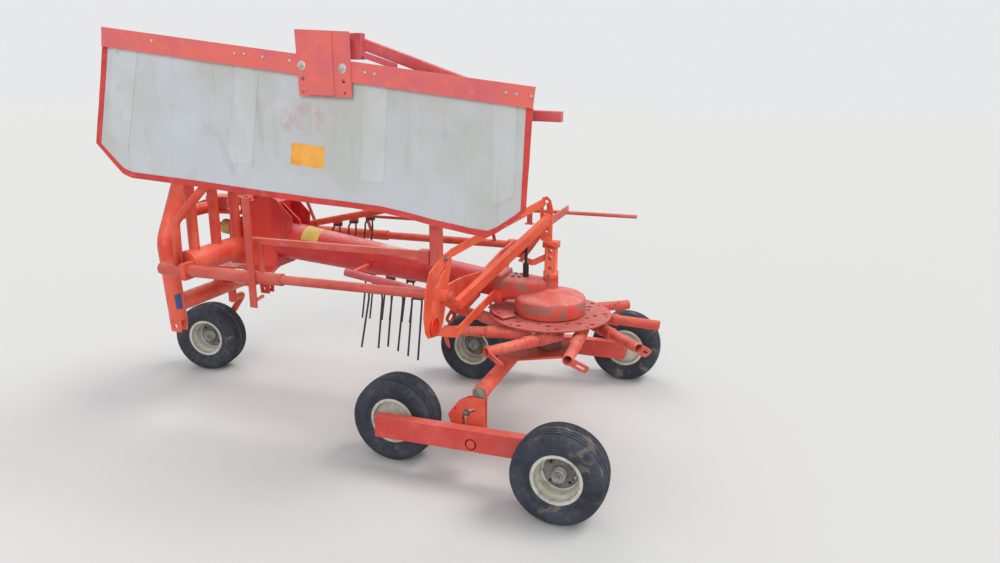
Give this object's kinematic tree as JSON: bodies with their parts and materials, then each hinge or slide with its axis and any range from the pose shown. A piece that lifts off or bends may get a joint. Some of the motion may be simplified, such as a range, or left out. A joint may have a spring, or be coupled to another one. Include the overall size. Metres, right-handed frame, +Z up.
{
  "type": "rotary rake",
  "caption": "Rotary rake with a rotor of arm sockets, tandem axles, gauge wheel, hitch headstock, stored tine arms and a folded swath curtain.",
  "frame": {"origin": "middle of the machine's outline on the ground", "axes": "+X forward towards the hitch, +Y to the machine's left, +Z up"},
  "size_m": [2.9634, 1.814, 1.991],
  "materials": {
    "frame_paint": "satin",
    "boom_paint": "satin",
    "rotor_paint": "matte",
    "beam_paint": "satin",
    "stored_paint": "satin",
    "rim_paint": "satin",
    "tyre": "matte",
    "steel": "worn",
    "canvas": "matte",
    "binding": "matte",
    "guard_plastic": "matte",
    "reflector": "gloss"
  },
  "bodies": {
    "frame": {"arm_hangers": "frame_paint", "axle_brackets": "frame_paint", "axle_plate": "frame_paint", "axle_tube": "frame_paint", "boom": "boom_paint", "channel_braces": "frame_paint", "crossbar": "frame_paint", "eye_rod": "steel", "flat_brace": "frame_paint", "gear_casing": "frame_paint", "gear_drum": "rotor_paint", "guard_bearings": "frame_paint", "gussets": "frame_paint", "input_guard": "guard_plastic", "mast": "frame_paint", "mast_link": "frame_paint", "rack_beam": "frame_paint", "rack_posts": "frame_paint", "reflector_left": "reflector", "rotor_shaft": "steel", "sector_left": "frame_paint", "stop_plate": "rotor_paint", "stored_arm_left": "stored_paint", "stored_arm_right_high": "stored_paint", "stored_arm_right_low": "stored_paint", "strap": "frame_paint"},
    "rotor": {"rotor_disc": "rotor_paint", "rotor_hub": "rotor_paint", "rotor_arms": "frame_paint"},
    "tandem_left": {"tandem_beam_left": "beam_paint"},
    "tandem_right": {"tandem_beam_right": "beam_paint"},
    "wheel_front_left": {"tyre_front_left": "tyre", "rim_front_left": "rim_paint"},
    "wheel_rear_left": {"tyre_rear_left": "tyre", "rim_rear_left": "rim_paint"},
    "wheel_front_right": {"tyre_front_right": "tyre", "rim_front_right": "rim_paint"},
    "wheel_rear_right": {"tyre_rear_right": "tyre", "rim_rear_right": "rim_paint"},
    "headstock": {"headstock_legs": "frame_paint", "headstock_lower": "frame_paint", "headstock_upper": "frame_paint", "headstock_tie": "frame_paint", "swivel_pins": "steel"},
    "caster": {"caster": "frame_paint"},
    "wheel_gauge": {"tyre_gauge": "tyre", "rim_gauge": "rim_paint"},
    "input": {"input_shaft": "steel"},
    "guard_left": {"hinge_tube_left": "frame_paint", "guard_hoop_left": "frame_paint", "guard_strip_left": "frame_paint", "guard_rail_left": "frame_paint", "guard_risers_left": "frame_paint", "swing_ears": "frame_paint"},
    "curtain": {"curtain": "canvas", "curtain_bar": "binding", "curtain_clamp": "frame_paint"},
    "guard_right": {"hinge_tube_right": "frame_paint", "guard_rail_right": "frame_paint"}
  },
  "joints": [
    {"name": "rotor_spin", "type": "hinge", "parent": "frame", "child": "rotor", "pos_m": [-0.9441, 0, 0.6], "axis": [0, 0, 1], "continuous": true},
    {"name": "tandem_left_tilt", "type": "hinge", "parent": "frame", "child": "tandem_left", "pos_m": [-0.7781, 0.68, 0.205], "axis": [0, 1, 0], "range_deg": [-10, 10]},
    {"name": "tandem_right_tilt", "type": "hinge", "parent": "frame", "child": "tandem_right", "pos_m": [-0.7781, -0.68, 0.205], "axis": [0, 1, 0], "range_deg": [-10, 10]},
    {"name": "wheel_front_left_spin", "type": "hinge", "parent": "tandem_left", "child": "wheel_front_left", "pos_m": [-0.3431, 0.536, 0.205], "axis": [0, 1, 0], "continuous": true},
    {"name": "wheel_rear_left_spin", "type": "hinge", "parent": "tandem_left", "child": "wheel_rear_left", "pos_m": [-1.2131, 0.823, 0.205], "axis": [0, 1, 0], "continuous": true},
    {"name": "wheel_front_right_spin", "type": "hinge", "parent": "tandem_right", "child": "wheel_front_right", "pos_m": [-0.3431, -0.536, 0.205], "axis": [0, 1, 0], "continuous": true},
    {"name": "wheel_rear_right_spin", "type": "hinge", "parent": "tandem_right", "child": "wheel_rear_right", "pos_m": [-1.2131, -0.823, 0.205], "axis": [0, 1, 0], "continuous": true},
    {"name": "headstock_swivel", "type": "hinge", "parent": "frame", "child": "headstock", "pos_m": [0.8219, 0, 0.86], "axis": [0, 0, 1], "range_deg": [-10, 10]},
    {"name": "caster_swivel", "type": "hinge", "parent": "headstock", "child": "caster", "pos_m": [1.1049, -0.1688, 0.6], "axis": [0, 0, 1], "continuous": true},
    {"name": "gauge_wheel_spin", "type": "hinge", "parent": "caster", "child": "wheel_gauge", "pos_m": [1.27487, -0.15004, 0.205], "axis": [-0.1097, 0.994, 0], "continuous": true},
    {"name": "input_spin", "type": "hinge", "parent": "frame", "child": "input", "pos_m": [0.9219, 0, 0.93835], "axis": [0.9931, 0, 0.1172], "continuous": true},
    {"name": "left_guard_fold", "type": "hinge", "parent": "frame", "child": "guard_left", "pos_m": [0.1219, 0.56, 0.832], "axis": [-1, 0, 0], "range_deg": [0, 88]},
    {"name": "curtain_swing", "type": "hinge", "parent": "guard_left", "child": "curtain", "pos_m": [-0.0881, 0.598, 1.921], "axis": [1, 0, 0], "range_deg": [0, 90]},
    {"name": "right_guard_fold", "type": "hinge", "parent": "frame", "child": "guard_right", "pos_m": [0.1219, -0.56, 0.832], "axis": [1, 0, 0], "range_deg": [0, 90]}
  ]
}
